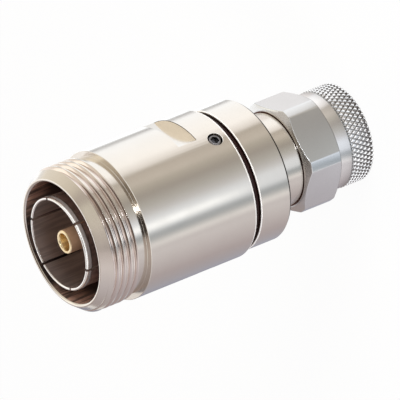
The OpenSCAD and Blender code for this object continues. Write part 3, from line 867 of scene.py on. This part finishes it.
bpy.ops.object.select_all(action="DESELECT")
bpy.ops.mesh.primitive_circle_add(vertices=ROUND, radius=card_r * MM, fill_type="NGON",
                                  location=(0, 0, card_z * MM))
card = bpy.context.object
card.name = "bounce_card"
card.visible_camera = card.visible_diffuse = card.visible_shadow = False
card.visible_transmission = False
tones, surface = finish("bounce_card_tones")
x, y, _, away = split(surface, place_in_mm(surface))
turn = from_view(surface, x, y)
strip = turn.near(strip_turn, strip_half, 0) * away.fade(*strip_reach) * strip_share
grey = turn.near(grey_turn, grey_half, grey_half / 2) * away.fade(*grey_reach)
shaded = away.fade(*under_part).blend(
    under_tone, grey.blend(ring_of_tones(surface, turn, card_tones), grey_tone))
surface.feed(surface.node("MixShader", values={
    0: strip, 1: surface.node("Emission", values={"Color": shaded, "Strength": 1.0}),
    2: surface.node("Emission", values={"Color": (*strip_tone, 1), "Strength": 1.0})}))
card.data.materials.append(tones)

# Room and lamps: a soft room, warm low down and darker overhead, white to the camera, and two large
# soft lamps over the table. A panel, two flags and a small spot stand in it, as a photographer sets them.
room_tones = [         # of its walls, each at its angle from the camera's side
    (-180, (0.95, 0.92, 0.92)), (-172, (0.46, 0.38, 0.36)), (-156, (0.46, 0.38, 0.36)),
    (-138, (0.48, 0.43, 0.44)), (-100, (0.68, 0.64, 0.68)), (-70, (0.86, 0.81, 0.83)),
    (-48, (0.72, 0.66, 0.66)), (8, (0.80, 0.75, 0.68)), (43, (0.83, 0.79, 0.70)),
    (62, (0.58, 0.52, 0.48)), (80, (0.80, 0.74, 0.64)), (110, (0.96, 0.90, 0.79)),
    (138, (1.02, 0.97, 0.88)), (160, (1.38, 1.38, 1.38)), (180, (1.40, 1.42, 1.45))]
beyond_from = (106, 120)                                       # the far side, behind the adapter
beyond_seam, beyond_tones = (-8, 8), ((0.45, 0.38, 0.36), (0.66, 0.54, 0.40))
overhead_rise, overhead_tone = (88, 82), (0.16, 0.12, 0.10)    # over the camera's side and straight up
ceiling_rise, ceiling_drop = (48, 58), 4                       # where it meets the walls, lower beyond
panel_turn, panel_half, panel_rise = 131, (15, 9), (19, 25)    # a warm panel on the far side
panel_tone = (1.50, 1.45, 1.32)
window_side, window_rise = (95, 70), (20, 12)                  # low light from the camera's side
window_tone = (1.4, 1.45, 1.5)
dark_flag_turn, dark_flag_half = -21, (22, 16)                 # a black flag on the camera's side
dark_flag_rise, dark_flag_tall = 28, (17, 10)
dark_flag_tone = (0.02, 0.015, 0.012)
warm_flag_turn, warm_flag_half = 36, (24, 14)                  # a brown flag beside it
warm_flag_rise, warm_flag_tall = 28, (12, 8)
warm_flag_tone = (0.32, 0.28, 0.24)
spot_turn, spot_rise, spot_half = math.radians(view_turn + 6.6), math.radians(29.3), math.radians(3.2)
spot_tone = (20.0, 21.0, 23.0)

room = bpy.data.worlds.new("studio")
bpy.context.scene.world = room
room.use_nodes = True
room.node_tree.nodes.clear()
sky = Wire(room.node_tree.nodes.new("ShaderNodeOutputWorld").inputs["Surface"])
ray = sky.node("TexCoord", output="Generated")
x, y, z, _ = split(sky, ray)
turn = from_view(sky, x, y)
rise = sky.maths("ARCSINE", z) * (180 / math.pi)
aside = sky.maths("ABSOLUTE", turn)
beyond = aside.fade(*beyond_from)

panel = turn.near(panel_turn, *panel_half) * rise.fade(*panel_rise)
window = aside.fade(*window_side) * rise.fade(*window_rise)
dark_flag = turn.near(dark_flag_turn, *dark_flag_half) * rise.near(dark_flag_rise, *dark_flag_tall)
warm_flag = turn.near(warm_flag_turn, *warm_flag_half) * rise.near(warm_flag_rise, *warm_flag_tall)
ceiling = turn.fade(*beyond_seam).blend(*beyond_tones)
ceiling = (beyond * rise.fade(*overhead_rise)).blend(overhead_tone, ceiling)
walls = panel.blend(ring_of_tones(sky, turn, room_tones), panel_tone)
glow = (rise + beyond * ceiling_drop).fade(*ceiling_rise).blend(walls, ceiling)
for share, tone in ((window, window_tone), (dark_flag, dark_flag_tone), (warm_flag, warm_flag_tone)):
    glow = share.blend(glow, tone)
spot = Vector((math.cos(spot_rise) * math.cos(spot_turn), math.cos(spot_rise) * math.sin(spot_turn),
               math.sin(spot_rise)))
towards = sky.node("VectorMath", {"operation": "DOT_PRODUCT"}, {0: ray, 1: spot}, "Value")
glow = towards.fade(math.cos(spot_half), math.cos(spot_half / 2)).blend(glow, spot_tone)
sky.feed(sky.node("MixShader", values={
    0: sky.node("LightPath", output="Is Camera Ray"),
    1: sky.node("Background", values={"Color": glow, "Strength": 1.0}),
    2: sky.node("Background", values={"Color": (1, 1, 1, 1), "Strength": 1.0})}))


def softbox(name, place, size, power, colour):
    """A square soft lamp that looks at the middle of the adapter."""
    middle = Vector((0, 0, 0.03))
    lamp = bpy.data.lights.new(name, "AREA")
    lamp.size = size
    lamp.energy = power
    lamp.color = colour
    made = bpy.data.objects.new(name, lamp)
    bpy.context.scene.collection.objects.link(made)
    made.location = place
    made.rotation_euler = (middle - made.location).to_track_quat("-Z", "Y").to_euler()
    made.visible_glossy = False


softbox("key_softbox", place=(0.55, -0.25, 0.32), size=0.35, power=4.0, colour=(1.0, 0.98, 0.95))
softbox("fill_softbox", place=(-0.50, -0.45, 0.28), size=0.4, power=2.5, colour=(0.98, 0.98, 1.0))

# Camera: as the photograph was taken, from above and from the jack's side, turned on its own axis so
# that the adapter lies across the picture.
azimuth, elevation = math.radians(25.5), math.radians(29.3)
photo_side = 400
pixels_per_metre = 5207.0
distance = 1.2
cos_roll, sin_roll = -0.9294, -0.3692
aim_z = 0.0352
shift_right, shift_up = 3.9, -10.0     # in pixels
back = Vector((math.sin(azimuth) * math.cos(elevation), -math.cos(azimuth) * math.cos(elevation),
               math.sin(elevation)))
axis = Vector((0, 0, 1))
along = (axis - axis.dot(back) * back).normalized()
across = back.cross(along)
right = cos_roll * along - sin_roll * across
up = sin_roll * along + cos_roll * across
target = Vector((0, 0, aim_z)) + (right * shift_right + up * shift_up) / pixels_per_metre
lens = bpy.data.cameras.new("camera")
lens.sensor_width = 36
lens.lens = lens.sensor_width * distance * pixels_per_metre / photo_side
lens.clip_start = 0.01
camera = bpy.data.objects.new("camera", lens)
bpy.context.scene.collection.objects.link(camera)
camera.matrix_world = (Matrix.Translation(target + back * distance)
                       @ Matrix((right, up, back)).transposed().to_4x4())
bpy.context.scene.camera = camera
bpy.context.scene.view_settings.view_transform = "Standard"
